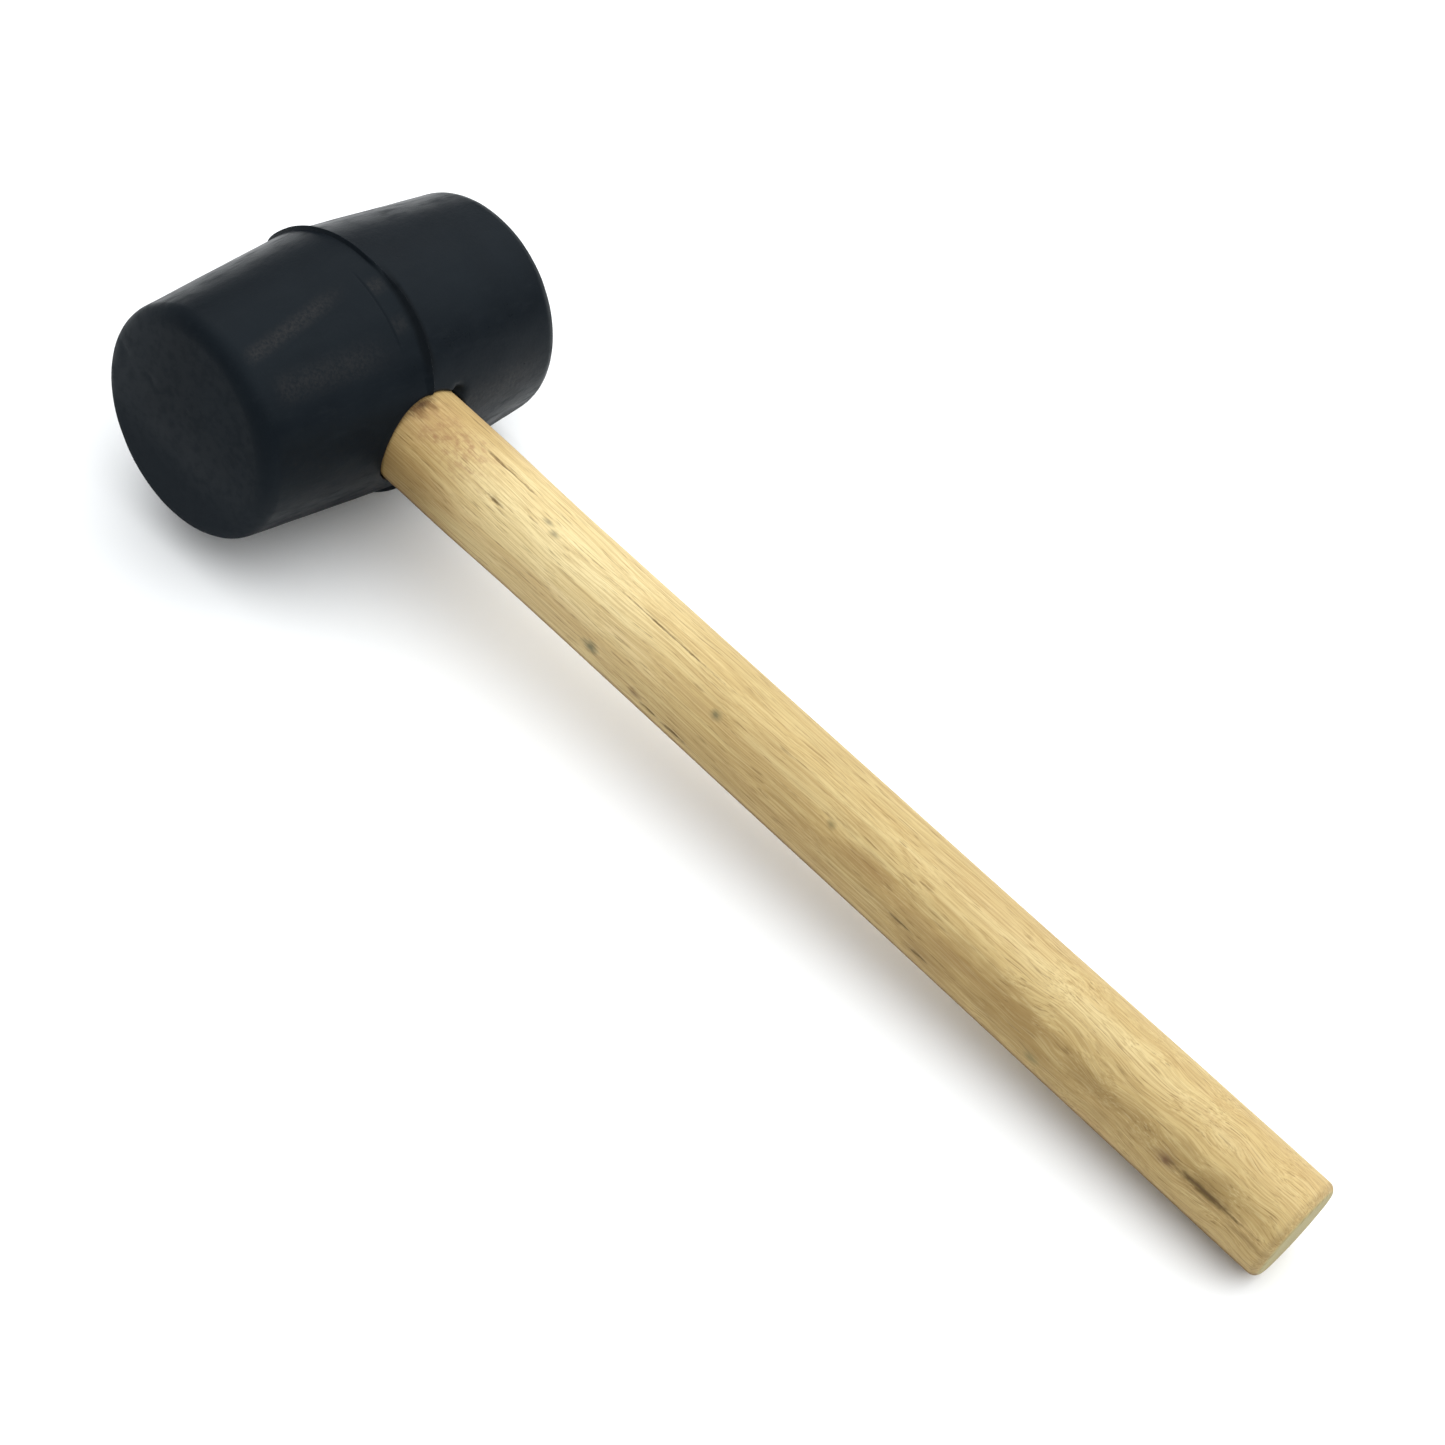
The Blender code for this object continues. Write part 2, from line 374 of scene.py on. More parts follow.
def ridge_height(along, angle):
    """How far the parting ridge stands out, as a share of its full height."""
    degrees = math.degrees(angle)
    starts, widest, narrows, ends = RIDGE_SMEAR
    widening = blend(degrees, starts, widest) * (1.0 - blend(degrees, narrows, ends))
    returning = blend(degrees, 42.0, 60.0)
    off = along - RIDGE_DRIFT * widening * (1.0 - 0.7 * returning)
    near = RIDGE_NEAR + (RIDGE_NEAR_WIDEST - RIDGE_NEAR) * widening
    reach = near if off < 0 else RIDGE_FAR
    share = max(1.0 - (math.hypot(off, RIDGE_CREST) - RIDGE_CREST) / reach, 0.0)
    if off < 0:
        share = share ** (1.0 + 0.5 * widening)
    from_handle_axis = BEAD_RADIUS * abs(math.cos(angle))
    clear_of_eye = blend(from_handle_axis, SHOULDER_RADIUS, SHOULDER_RADIUS + 0.004)
    return share * (0.25 + 0.75 * clear_of_eye)


def head_radius(along, angle):
    """The head's moulded surface: flank, belt, crease and ridge."""
    flank = FLANK_RADIUS - abs(along) * math.tan(FLANK_TAPER)
    belt = belt_share(angle)
    share = min(max(1.0 - along / BELT_EDGE, 0.0), 1.0) if along < 0 else 0.0
    step = BELT_STEP * blend(along, BELT_EDGE - 0.0002, BELT_EDGE + 0.0002) if along < 0 else 0.0
    flare = BELT_FLARE * share ** 2
    crease = CREASE_DEPTH * math.exp(-(((along - BELT_EDGE) / CREASE_REACH) ** 2))
    plain = flank + belt * (step + flare - crease)
    return plain + (BEAD_RADIUS - plain) * ridge_height(along, angle)


def head_profile():
    """(along, radius) from just off the near face's middle to just off the far one's.

    On the flank the radius is None, because head_radius gives it for each angle.
    """
    edge_along = HALF_HEAD - FACE_EDGE_RADIUS
    edge_out = FLANK_RADIUS - edge_along * math.tan(FLANK_TAPER)
    edge_out -= FACE_EDGE_RADIUS / math.cos(FLANK_TAPER)
    face = [(HALF_HEAD, out) for out in spread(0.0006, edge_out, 0.0009)]
    bend = corner((edge_along, edge_out), FACE_EDGE_RADIUS, 0.0, math.pi / 2 - FLANK_TAPER, 14)
    bend_end = edge_along + FACE_EDGE_RADIUS * math.sin(FLANK_TAPER)
    belt_out = 0.0062
    half = face + bend
    near = [(-along, out) for along, out in half]
    stations = spread(-bend_end, -belt_out, 0.0008)
    stations += spread(-belt_out, belt_out, 0.00016)
    stations += spread(belt_out, bend_end, 0.0008) + [bend_end]
    return near + [(along, None) for along in stations] + half[::-1]


def head_point(along, radius, angle):
    """A point of the head's surface, with the unevenness of a moulded and used head."""
    if radius is None:
        radius = head_radius(along, angle)
    outward = Vector((math.sin(angle), 0.0, math.cos(angle)))
    point = Vector((0.0, along, 0.0)) + outward * radius
    swell = 0.00010 * ripple(point, 0.016, 1.0) + 0.00004 * ripple(point, 0.005, 2.0)
    waver_of_ridge = 0.00007 * ripple(point, 0.006, 3.0) * math.exp(-((along / 0.0012) ** 2))
    inward = HEAD_INSET - swell - waver_of_ridge
    side = -1 if along < 0 else 1
    face_reach = FLANK_RADIUS - HALF_HEAD * math.tan(FLANK_TAPER) + 0.0002
    on_face = radius < face_reach and abs(along) > HALF_HEAD * 0.9
    point -= outward * inward * blend(radius, 0.002, 0.012)
    if on_face:
        dent = 0.0
        for x, z, reach, depth in FACE_NICKS_MM[side]:
            centre = Vector((x * MM, point.y, z * MM))
            dent += depth * MM * bump_at(point, centre, reach * MM)
        worn = 0.00008 * (1.0 + ripple(point, 0.009, 5.0))
        point.y -= side * (dent + worn)
    return point


def eye_inward(point):
    """How far the rubber drops towards the handle at the rims of the eye."""
    distance = math.hypot(point.y, point.z)
    wall = SHOULDER_RADIUS if point.x > 0 else TENON_END_RADIUS
    gap = max(distance - wall, 0.0)
    drop = 0.0
    if gap < EYE_ROUND:
        drop = EYE_ROUND - math.sqrt(max(EYE_ROUND ** 2 - (EYE_ROUND - gap) ** 2, 0.0))
    if point.x > 0:
        drop += PIT_DEPTH * bump_at(point, PIT, PIT_REACH)
    return drop


def refine_near_eye(obj):
    """Splits the faces round both rims of the eye, so that the rounding there is smooth."""
    bm = bmesh.new()
    bm.from_mesh(obj.data)
    inner = TENON_RADIUS - 0.0008
    outer = SHOULDER_RADIUS + 0.0028
    rim_x = FLANK_RADIUS * 0.7
    near = []
    for edge in bm.edges:
        middle = (edge.verts[0].co + edge.verts[1].co) / 2
        if abs(middle.x) > rim_x and inner < math.hypot(middle.y, middle.z) < outer:
            near.append(edge)
    bmesh.ops.subdivide_edges(bm, edges=near, cuts=2, use_grid_fill=True)
    for vert in bm.verts:
        if abs(vert.co.x) > rim_x:
            drop = eye_inward(vert.co)
            vert.co.x -= math.copysign(drop, vert.co.x)
    bm.to_mesh(obj.data)
    bm.free()


def handle_radius(x):
    """The handle's radius from the tenon's end, through the eye and down to the butt."""
    stations = (
        (CROWN_X, TENON_END_RADIUS),
        (CROWN_X + HALF_HEAD * 0.32, TENON_RADIUS),
        (FLANK_RADIUS * 0.55, TENON_RADIUS),
        (FLANK_RADIUS * 0.90, SHOULDER_RADIUS - 0.0001),
        (REACH * 0.15, SHOULDER_RADIUS),
        (REACH * 0.26, GRIP_RADIUS),
        (REACH * 0.62, GRIP_RADIUS),
        (REACH, BUTT_RADIUS),
    )
    return follow(stations, x)


def circle_ring(x, radius, count):
    """Points round the handle's axis."""
    ring = []
    for index in range(count):
        angle = math.tau * index / count
        ring.append((x, -radius * math.sin(angle), radius * math.cos(angle)))
    return ring


def make_head(material):
    """The rubber head, with the eye cut right through it."""
    rings = []
    for along, radius in head_profile():
        angles = [math.tau * index / HEAD_AROUND for index in range(HEAD_AROUND)]
        rings.append([head_point(along, radius, angle) for angle in angles])
    head = ring_object("rubber_barrel_head", rings)
    refine_near_eye(head)
    stations = spread(-2 * BEAD_RADIUS, 0.045, 0.0015)
    walls = [
        circle_ring(x, handle_radius(max(x, CROWN_X)) + EYE_CLEARANCE, HANDLE_AROUND)
        for x in stations
    ]
    cut(head, ring_object("eye_cutter", walls))
    settle(head, material, 38.0)
    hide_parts("rubber_head")


# ---------------------------------------------------------------- wooden handle

# Splits along the grain: x, angle in degrees, length, width, depth and lean in degrees, with
# lengths in millimetres.
SPLITS_MM = (
    (57.4, 3.0, 22.0, 0.60, 0.45, 0.0),
    (60.5, 40.0, 5.6, 0.90, 0.60, 0.0),
    (113.2, 19.5, 40.0, 0.45, 0.25, 1.0),
    (128.0, 105.5, 10.0, 0.70, 0.35, 1.0),
    (120.0, 105.0, 7.5, 0.70, 0.35, 8.0),
    (196.0, 82.0, 8.0, 0.45, 0.20, 2.0),
    (203.0, 100.0, 7.0, 0.50, 0.20, 3.0),
    (180.0, -120.0, 30.0, 0.50, 0.30, 1.0),
    (90.0, 200.0, 22.0, 0.60, 0.40, 2.0),
    (240.0, 170.0, 16.0, 0.50, 0.30, -2.0),
    (284.0, 72.0, 22.0, 0.60, 0.18, -2.0),
)


def split_depth(x, angle, radius):
    """How deep the splits are at a place on the handle."""
    depth = 0.0
    for at, turn, length, width, deep, lean in SPLITS_MM:
        run = x - at * MM
        if abs(run) > length * MM / 2:
            continue
        off = math.remainder(angle - math.radians(turn), math.tau) * radius
        off -= run * math.tan(math.radians(lean))
        off += 0.00025 * math.sin(run / 0.0021 + at)
        taper = math.cos(math.pi * run / (length * MM))
        reach = width * MM / 2 * (0.35 + 0.65 * taper)
        depth += deep * MM * taper * math.exp(-((off / reach) ** 2))
    return depth


def handle_point(x, radius, angle):
    """A point of the handle's surface, with the unevenness of turned and sanded wood."""
    outward = Vector((0.0, -math.sin(angle), math.cos(angle)))
    point = Vector((x, 0.0, 0.0)) + outward * radius
    free = blend(x, 0.030, 0.040)
    stretched = Vector((x * 0.12, point.y, point.z))
    uneven = 0.00012 * ripple(stretched, 0.007, 11.0)
    fibre = 0.000035 * ripple(Vector((x * 0.05, point.y, point.z)), 0.0007, 12.0)
    inward = free * (HANDLE_INSET + uneven - fibre)
    if x > REACH - 0.004:
        chip = max(ripple(point, 0.0022, 13.0), 0.0)
        inward += 0.00012 * chip * blend(x, REACH - 0.004, REACH - 0.001)
    inward += free * split_depth(x, angle, radius)
    return point - outward * inward


def handle_profile():
    """(x, radius) from just off the middle of the tenon's end to just off the butt's middle."""
    chamfer = 0.0005
    end_x = CROWN_X + 0.00005
    flat_reach = TENON_END_RADIUS - chamfer
    profile = [(end_x, out) for out in spread(0.0006, flat_reach, 0.0008)]
    profile += [(end_x, flat_reach), (end_x + chamfer * 0.3, TENON_END_RADIUS - chamfer * 0.3)]
    stations = spread(CROWN_X + chamfer, 0.024, 0.0012)
    stations += spread(0.024, REACH - BUTT_EDGE_RADIUS, 0.0006)
    profile += [(x, handle_radius(x)) for x in stations]
    centre = (REACH - BUTT_EDGE_RADIUS, handle_radius(REACH) - BUTT_EDGE_RADIUS)
    profile += corner(centre, BUTT_EDGE_RADIUS, math.pi / 2, 0.0, 12)
    profile += [(REACH, out) for out in spread(centre[1], 0.0006, 0.0006)]
    return profile


def make_handle(material):
    """The turned handle, with the kerf and the steel wedge's slot cut out of its tenon."""
    rings = []
    for x, radius in handle_profile():
        angles = [math.tau * index / HANDLE_AROUND for index in range(HANDLE_AROUND)]
        rings.append([handle_point(x, radius, angle) for angle in angles])
    handle = ring_object("turned_handle", rings)
    kerf_foot = WOOD_WEDGE_FOOT * 0.6
    kerf = slot_rings(KERF_DEPTH, WOOD_WEDGE_MOUTH, kerf_foot, KERF_WIDTH, "Y")
    cut(handle, ring_object("kerf_cutter", kerf))
    cut(handle, ring_object("slot_cutter", steel_slot_rings()))
    settle(handle, material, 40.0)
    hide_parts("handle")


# ---------------------------------------------------------------- wedges


def box_ring(x, half_thickness, half_width, rounding, across):
    """A rectangle with rounded corners, across the handle, its width along Y or Z."""
    ring = []
    side_t = half_thickness - rounding
    side_w = half_width - rounding
    for quarter in range(4):
        sign_t = 1 if quarter in (0, 3) else -1
        sign_w = 1 if quarter in (0, 1) else -1
        for step in range(5):
            angle = math.pi / 2 * (quarter + step / 4)
            thick = sign_t * side_t + rounding * math.cos(angle)
            wide = sign_w * side_w + rounding * math.sin(angle)
            ring.append((x, wide, thick) if across == "Y" else (x, thick, wide))
    return ring


def blade_rings(length, mouth, foot, width, across, start=0.0, barbs=0):
    """Rings down a blade that narrows from the crown, from start to length beyond it.

    With barbs, its two sides also have that many steps, like a saw's teeth.
    """
    rings = []
    steps = 24
    for step in range(steps + 1):
        x = start + (length - start) * step / steps
        half = (mouth + (foot - mouth) * max(x, 0.0) / length) / 2
        if barbs:
            half -= 0.00025 * (x / length * barbs % 1.0)
        rings.append(box_ring(CROWN_X + x, half, width / 2, min(0.00012, half * 0.4), across))
    return rings


def slot_rings(length, mouth, foot, width, across):
    """Rings for a cutter that a wedge fits into."""
    spare = 2 * WEDGE_CLEARANCE
    return blade_rings(length, mouth + spare, foot + spare, width, across, start=-CUT_OVERRUN)


def steel_slot_rings():
    """Rings for the cutter that makes room for the steel wedge."""
    length = STEEL_WEDGE_LENGTH + SLOT_SPARE
    return slot_rings(length, STEEL_WEDGE_MOUTH, STEEL_WEDGE_FOOT, STEEL_WEDGE_WIDTH, "Z")


def driven_end(rings, dent):
    """Rings for the hammered end of a wedge: its rim rounded over and its middle slightly dished."""
    first = [Vector(point) for point in rings[0]]
    centre = sum(first, Vector()) / len(first)
    crown = []
    for share, drop in ((0.15, 1.0), (0.45, 0.8), (0.75, 0.35), (0.93, 0.1)):
        ring = []
        for point in first:
            place = centre + (point - centre) * share
            place.x += dent * drop * (0.6 + 0.4 * ripple(place, 0.0015, 21.0))
            ring.append(place)
        crown.append(ring)
    rim = [centre + (point - centre) * 0.985 for point in first]
    shifted = [Vector((point[0] + 0.00015, point[1], point[2])) for point in first]
    return crown + [rim, shifted] + rings[1:]


def make_wood_wedge(material):
    """The wooden wedge in the kerf, with the steel one's slot cut across it."""
    rings = blade_rings(
        WOOD_WEDGE_LENGTH, WOOD_WEDGE_MOUTH, WOOD_WEDGE_FOOT, WOOD_WEDGE_WIDTH, "Y", start=0.0001,
    )
    wedge = ring_object("kerf_wedge", driven_end(rings, dent=0.00025))
    cut(wedge, ring_object("slot_cutter", steel_slot_rings()))
    settle(wedge, material, 35.0)
    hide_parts("wood_wedge")


def make_steel_wedge(material):
    """The barbed steel wedge across the wooden one."""
    width = STEEL_WEDGE_WIDTH - 0.0001
    rings = blade_rings(
        STEEL_WEDGE_LENGTH, STEEL_WEDGE_MOUTH, STEEL_WEDGE_FOOT, width, "Z", start=0.0003, barbs=4,
    )
    wedge = ring_object("cross_wedge", driven_end(rings, dent=0.00012))
    settle(wedge, material, 35.0)
    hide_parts("steel_wedge")


# ---------------------------------------------------------------- materials


# Where a Mix node keeps its two colours and their mixture.
MIX_COLOURS = (6, 7)
MIX_RESULT = 2


class Tree:
    """A material's node tree, built one node to a call."""

    def __init__(self, name):
        self.material = bpy.data.materials.new(name)
        self.material.use_nodes = True
        self.nodes = self.material.node_tree.nodes
        self.links = self.material.node_tree.links
        self.shader = self.nodes["Principled BSDF"]

    def put(self, socket, value):
        """Links a socket to the input, or sets it to a constant."""
        if isinstance(value, bpy.types.NodeSocket):
            self.links.new(value, socket)
        else:
            socket.default_value = value

    def add(self, kind, inputs, **settings):
        node = self.nodes.new("ShaderNode" + kind)
        for name, value in settings.items():
            setattr(node, name, value)
        for key, value in inputs.items():
            self.put(node.inputs[key], value)
        return node

    def place(self):
        """Where the surface is, in the tool's axes and millimetres."""
        return self.add("Attribute", {}, attribute_name="tool_mm").outputs["Vector"]

    def math(self, operation, *values):
        return self.add("Math", dict(enumerate(values)), operation=operation).outputs[0]

    def times(self, product, *others):
        """All the numbers multiplied together."""
        for other in others:
            product = self.math("MULTIPLY", product, other)
        return product

    def vector(self, operation, *values):
        node = self.add("VectorMath", dict(enumerate(values)), operation=operation)
        return node.outputs["Value" if operation == "LENGTH" else "Vector"]

    def noise(self, place, per_mm, detail=3.0, roughness=0.55, output="Fac"):
        """Noise with that many features to the millimetre, one number or one for each axis."""
        if isinstance(per_mm, tuple):
            place = self.vector("MULTIPLY", place, per_mm)
            per_mm = 1.0
        inputs = {"Vector": place, "Scale": per_mm, "Detail": detail, "Roughness": roughness}
        return self.add("TexNoise", inputs).outputs[output]

    def push(self, place, per_mm, detail):
        """A smooth random push for each axis, from 0 to 1."""
        return self.noise(place, per_mm, detail, roughness=0.5, output="Color")

    def range(self, value, low, high, start=0.0, end=1.0, smooth=True):
        """The value's way from low to high, as a number from start to end."""
        inputs = {"Value": value, "From Min": low, "From Max": high, "To Min": start, "To Max": end}
        kind = "SMOOTHSTEP" if smooth else "LINEAR"
        return self.add("MapRange", inputs, interpolation_type=kind).outputs["Result"]

    def mix(self, share, first, second, kind="MIX"):
        """Two colours mixed, each a socket or three numbers."""
        node = self.add("Mix", {}, data_type="RGBA", blend_type=kind)
        self.put(node.inputs["Factor"], share)
        for index, colour in zip(MIX_COLOURS, (first, second)):
            self.put(node.inputs[index], (*colour, 1.0) if isinstance(colour, tuple) else colour)
        return node.outputs[MIX_RESULT]

    def shade(self, share, tone, colour):
        """The tone darkened where the share is high, to its product with the colour."""
        return self.mix(share, tone, colour, kind="MULTIPLY")

    def ramp(self, value, stops):
        node = self.add("ValToRGB", {"Fac": value})
        ramp = node.color_ramp
        while len(ramp.elements) < len(stops):
            ramp.elements.new(0.5)
        for element, (at, colour) in zip(ramp.elements, stops):
            element.position = at
            element.color = (*colour, 1.0)
        return node.outputs["Color"]

    def bump(self, height, distance_mm, strength=1.0, below=None):
        inputs = {"Height": height, "Distance": distance_mm * MM, "Strength": strength}
        if below is not None:
            inputs["Normal"] = below
        return self.add("Bump", inputs).outputs["Normal"]

    def finish(self, colour, roughness, normal, **values):
        self.put(self.shader.inputs["Base Color"], colour)
        self.put(self.shader.inputs["Roughness"], roughness)
        self.put(self.shader.inputs["Normal"], normal)
        for name, value in values.items():
            self.put(self.shader.inputs[name.replace("_", " ")], value)
        return self.material


# Pale strips along the head's flanks: the first four rows are painted highlights, the streaks of
# light on the near flank and its belt, the fifth is a painted reflection on the far half's lower
# corner, and the rest are scuffs. Angle at the start and half width in degrees, degrees of turn for
# each millimetre, start and end along Y in millimetres, strength.
SCUFFS_AND_HIGHLIGHTS = (
    (20.5, 6.5, -0.34, -44.5, -8.0, 1.00),
    (38.5, 11.0, 0.06, -42.0, -4.0, 0.60),
    (14.5, 6.0, 0.0, -5.4, -0.2, 0.90),
    (33.0, 6.0, 0.0, -5.4, -0.6, 0.55),
    (82.0, 16.0, 0.0, 8.0, 45.0, 0.75),
    (-62.0, 8.0, 0.2, -38.0, -12.0, 0.45),
    (-40.0, 7.0, 0.0, 10.0, 41.0, 0.45),
    (125.0, 9.0, -0.2, 8.0, 42.0, 0.45),
    (160.0, 8.0, 0.0, -42.0, -15.0, 0.50),
    (-140.0, 7.0, 0.3, -30.0, -6.0, 0.45),
)

RUBBER_DARK = (0.0040, 0.0060, 0.0085)
RUBBER_PALE = (0.0058, 0.0085, 0.0115)
RUBBER_DUST = (0.010, 0.013, 0.016)
RUBBER_SCUFF_AND_HIGHLIGHT = (0.0210, 0.0205, 0.0210)
RUBBER_FACE_REFLECTION = (0.0145, 0.0178, 0.0215)
RUBBER_RIDGE_SHADE = (0.0022, 0.0030, 0.0040)


def flank_strip(tree, turn, along, angle, half, lean, start, end):
    """A mask along the flank, 1 on a strip round an angle and between two places along the head."""
    leaning = tree.times(tree.math("SUBTRACT", along, start), math.radians(lean))
    off = tree.math("SUBTRACT", tree.math("SUBTRACT", turn, leaning), math.radians(angle))
    across = tree.range(tree.math("ABSOLUTE", off), math.radians(half), 0.0)
    fade = (end - start) * 0.4
    first = tree.range(along, start, start + fade * 0.3)
    last = tree.range(along, end, end - fade)
    return tree.times(across, first, last)


def painted_face_reflection(tree, on_face, x, z):
    """A mask over the lower part of the striking faces and their side towards the crown, painted
    paler as painted reflected light.
    """
    lower = tree.range(z, 10.0, -20.0)
    crownward = tree.range(x, -4.0, -24.0)
    return tree.times(on_face, tree.math("MAXIMUM", lower, crownward), 0.75)


def shade_by_ridge(tree, along, turn):
    """A mask over the ridge and the rubber beside it, where the ridge is widened; the rubber there
    is painted darker as painted shade.
    """
    beside = tree.math("ABSOLUTE", tree.math("SUBTRACT", along, 1.0))
    return tree.times(
        tree.range(beside, 2.6, 1.0),
        tree.range(turn, 0.05, 0.35),
        tree.range(turn, 1.10, 0.85),
    )


def make_rubber():
    """Black rubber with faint clouds, dust, grime, pale scuffs, painted highlights and reflections,
    painted shade beside the ridge, and duller striking faces.
    """
    tree = Tree("black_rubber")
    place = tree.place()
    x, along, z = tree.add("SeparateXYZ", {"Vector": place}).outputs
    turn = tree.math("ARCTAN2", x, z)
    cloud = tree.noise(place, 0.06, detail=5.0)
    grime = tree.noise(place, (0.45, 0.12, 0.45), detail=6.0, roughness=0.65)
    fine = tree.noise(place, 2.2, detail=4.0, roughness=0.6)
    mottle = tree.noise(place, 0.75, detail=4.0, roughness=0.6)
    grain = tree.noise(place, 1.1, detail=6.0, roughness=0.75)
    on_face = tree.range(tree.math("ABSOLUTE", along), HALF_HEAD / MM - 4.2, HALF_HEAD / MM - 0.8)
    widening = shade_by_ridge(tree, along, turn)
    below = tree.range(z, -6.0, -18.0)

    colour = tree.ramp(cloud, ((0.30, RUBBER_DARK), (0.70, RUBBER_PALE)))
    colour = tree.mix(tree.range(grime, 0.52, 0.74, 0.0, 0.35), colour, RUBBER_DUST)
    speckled = tree.range(grain, 0.34, 0.66, 0.12, 1.0)
    # Pale scuffs, with painted highlights and a painted reflection from the table's first rows.
    for angle, half, lean, start, end, strength in SCUFFS_AND_HIGHLIGHTS:
        mask = flank_strip(tree, turn, along, angle, half, lean, start, end)
        colour = tree.mix(tree.times(mask, speckled, strength), colour, RUBBER_SCUFF_AND_HIGHLIGHT)
    # Painted reflected light: the striking faces paler low down and towards the crown.
    colour = tree.mix(painted_face_reflection(tree, on_face, x, z), colour, RUBBER_FACE_REFLECTION)
    # Painted shade: darker rubber beside the widened ridge.
    colour = tree.mix(tree.times(widening, 0.7), colour, RUBBER_RIDGE_SHADE)

    rough = tree.range(cloud, 0.3, 0.7, 0.27, 0.35)
    rough = tree.math("ADD", rough, tree.range(grime, 0.42, 0.75, 0.0, 0.20))
    for mask, more in ((on_face, 0.26), (widening, 0.30), (below, 0.36)):
        rough = tree.math("ADD", rough, tree.times(mask, more))

    off_face = tree.math("SUBTRACT", 1.0, tree.times(on_face, 0.9))
    normal = tree.bump(tree.times(mottle, off_face), 0.08, 0.5)
    normal = tree.bump(fine, 0.02, 0.6, normal)
    normal = tree.bump(grime, 0.05, 0.5, normal)
    tree.put(tree.shader.inputs["Specular Tint"], (0.85, 0.95, 1.0, 1.0))
    return tree.finish(colour, rough, normal, Specular_IOR_Level=0.06)


def unrolled(tree, place):
    """The handle's surface laid flat, in millimetres.

    It gives the flat place, x along the handle, and the arc from +Z towards -Y.
    """
    x, y, z = tree.add("SeparateXYZ", {"Vector": place}).outputs
    turn = tree.math("ARCTAN2", tree.times(y, -1.0), z)
    arc = tree.times(turn, GRIP_RADIUS / MM)
    flat = tree.add("CombineXYZ", {"X": x, "Y": arc}).outputs["Vector"]
    return flat, x, arc


def spot(tree, flat, at, angle, half_length, half_width, edge, soft):
    """A mask that is 1 at a place on the handle and 0 beyond an ellipse drawn out along the grain.

    The edge is added to the distance from the middle, so that the outline isn't smooth.
    """
    centre = (at, math.radians(angle) * GRIP_RADIUS / MM, 0.0)
    off = tree.vector("SUBTRACT", flat, centre)
    off = tree.vector("DIVIDE", off, (half_length, half_width, 1.0))
    distance = tree.math("ADD", tree.vector("LENGTH", off), edge)
    return tree.range(distance, 1.15, soft)


def add_spots(tree, tone, flat, rows, edge, soft):
    """The tone with a spot for each row: x, angle, half length, half width, colour, strength."""
    for at, angle, half_length, half_width, colour, strength in rows:
        mask = spot(tree, flat, at, angle, half_length, half_width, edge, soft)
        tone = tree.mix(tree.times(mask, strength), tone, colour)
    return tone


# Broad tones, as of heartwood, and smaller stains on the handle: x in millimetres, angle in
# degrees, half length and half width in millimetres, colour, strength.
TONES_MM = (
    (75.0, 36.0, 48.0, 9.0, (0.95, 0.785, 0.420), 0.70),
    (80.0, 4.0, 45.0, 7.0, (0.93, 0.765, 0.410), 0.25),
    (180.0, -10.0, 130.0, 6.0, (0.62, 0.475, 0.235), 0.40),
    (225.0, 72.0, 74.0, 9.0, (0.45, 0.295, 0.105), 0.78),
    (160.0, 62.0, 45.0, 5.0, (0.58, 0.41, 0.175), 0.35),
    (150.0, 45.0, 28.0, 7.0, (0.66, 0.50, 0.250), 0.35),
    (235.0, 16.0, 60.0, 5.0, (0.98, 0.83, 0.470), 0.60),
    (183.0, 59.0, 14.0, 2.8, (0.46, 0.295, 0.120), 0.75),
    (208.0, 67.0, 13.0, 2.6, (0.42, 0.270, 0.105), 0.60),
    (187.0, 88.0, 9.0, 3.0, (0.86, 0.690, 0.370), 0.75),
    (203.0, 96.0, 12.0, 4.0, (0.42, 0.27, 0.115), 0.60),
    (226.8, 62.0, 16.0, 3.6, (0.41, 0.27, 0.105), 0.75),
    (284.0, 58.0, 20.0, 3.8, (0.36, 0.245, 0.085), 0.70),
    (256.0, 67.0, 22.0, 3.6, (0.36, 0.240, 0.092), 0.80),
    (32.0, 45.0, 4.0, 14.0, (0.62, 0.44, 0.200), 0.45),
    (36.0, 20.0, 7.0, 9.0, (0.66, 0.45, 0.210), 0.45),
    (270.8, 74.5, 4.0, 3.0, (0.30, 0.185, 0.090), 0.70),
)
STAINS_MM = (
    (30.0, 18.0, 2.1, 5.4, (0.10, 0.048, 0.016), 0.95),
    (32.0, 9.0, 2.4, 1.3, (0.24, 0.120, 0.042), 0.75),
    (31.6, 24.0, 2.6, 1.9, (0.26, 0.135, 0.048), 0.70),
    (29.6, 48.0, 1.2, 6.0, (0.22, 0.130, 0.050), 0.55),
    (271.3, 75.0, 2.0, 1.6, (0.21, 0.110, 0.062), 0.80),
    (281.0, 71.0, 10.5, 2.6, (0.27, 0.175, 0.060), 0.70),
    (281.5, 72.8, 9.5, 1.0, (0.13, 0.080, 0.022), 0.90),
    (293.5, 80.0, 7.5, 1.0, (0.34, 0.225, 0.090), 0.60),
    (76.8, 23.5, 2.0, 1.1, (0.28, 0.235, 0.130), 0.75),
    (73.4, 18.0, 2.2, 0.9, (0.30, 0.250, 0.140), 0.75),
    (100.3, 91.0, 3.0, 2.1, (0.16, 0.165, 0.095), 0.85),
    (134.6, 50.0, 1.9, 1.6, (0.20, 0.190, 0.105), 0.80),
    (170.9, 53.0, 1.6, 1.3, (0.30, 0.25, 0.120), 0.70),
    (115.0, 98.0, 2.6, 1.6, (0.24, 0.140, 0.070), 0.70),
    (128.0, 105.5, 5.5, 0.9, (0.19, 0.120, 0.055), 0.70),
    (196.0, 82.0, 4.5, 0.7, (0.25, 0.165, 0.065), 0.50),
    (203.0, 100.0, 3.8, 0.8, (0.24, 0.155, 0.065), 0.55),
    (236.0, 97.0, 2.6, 2.0, (0.26, 0.25, 0.120), 0.60),
)

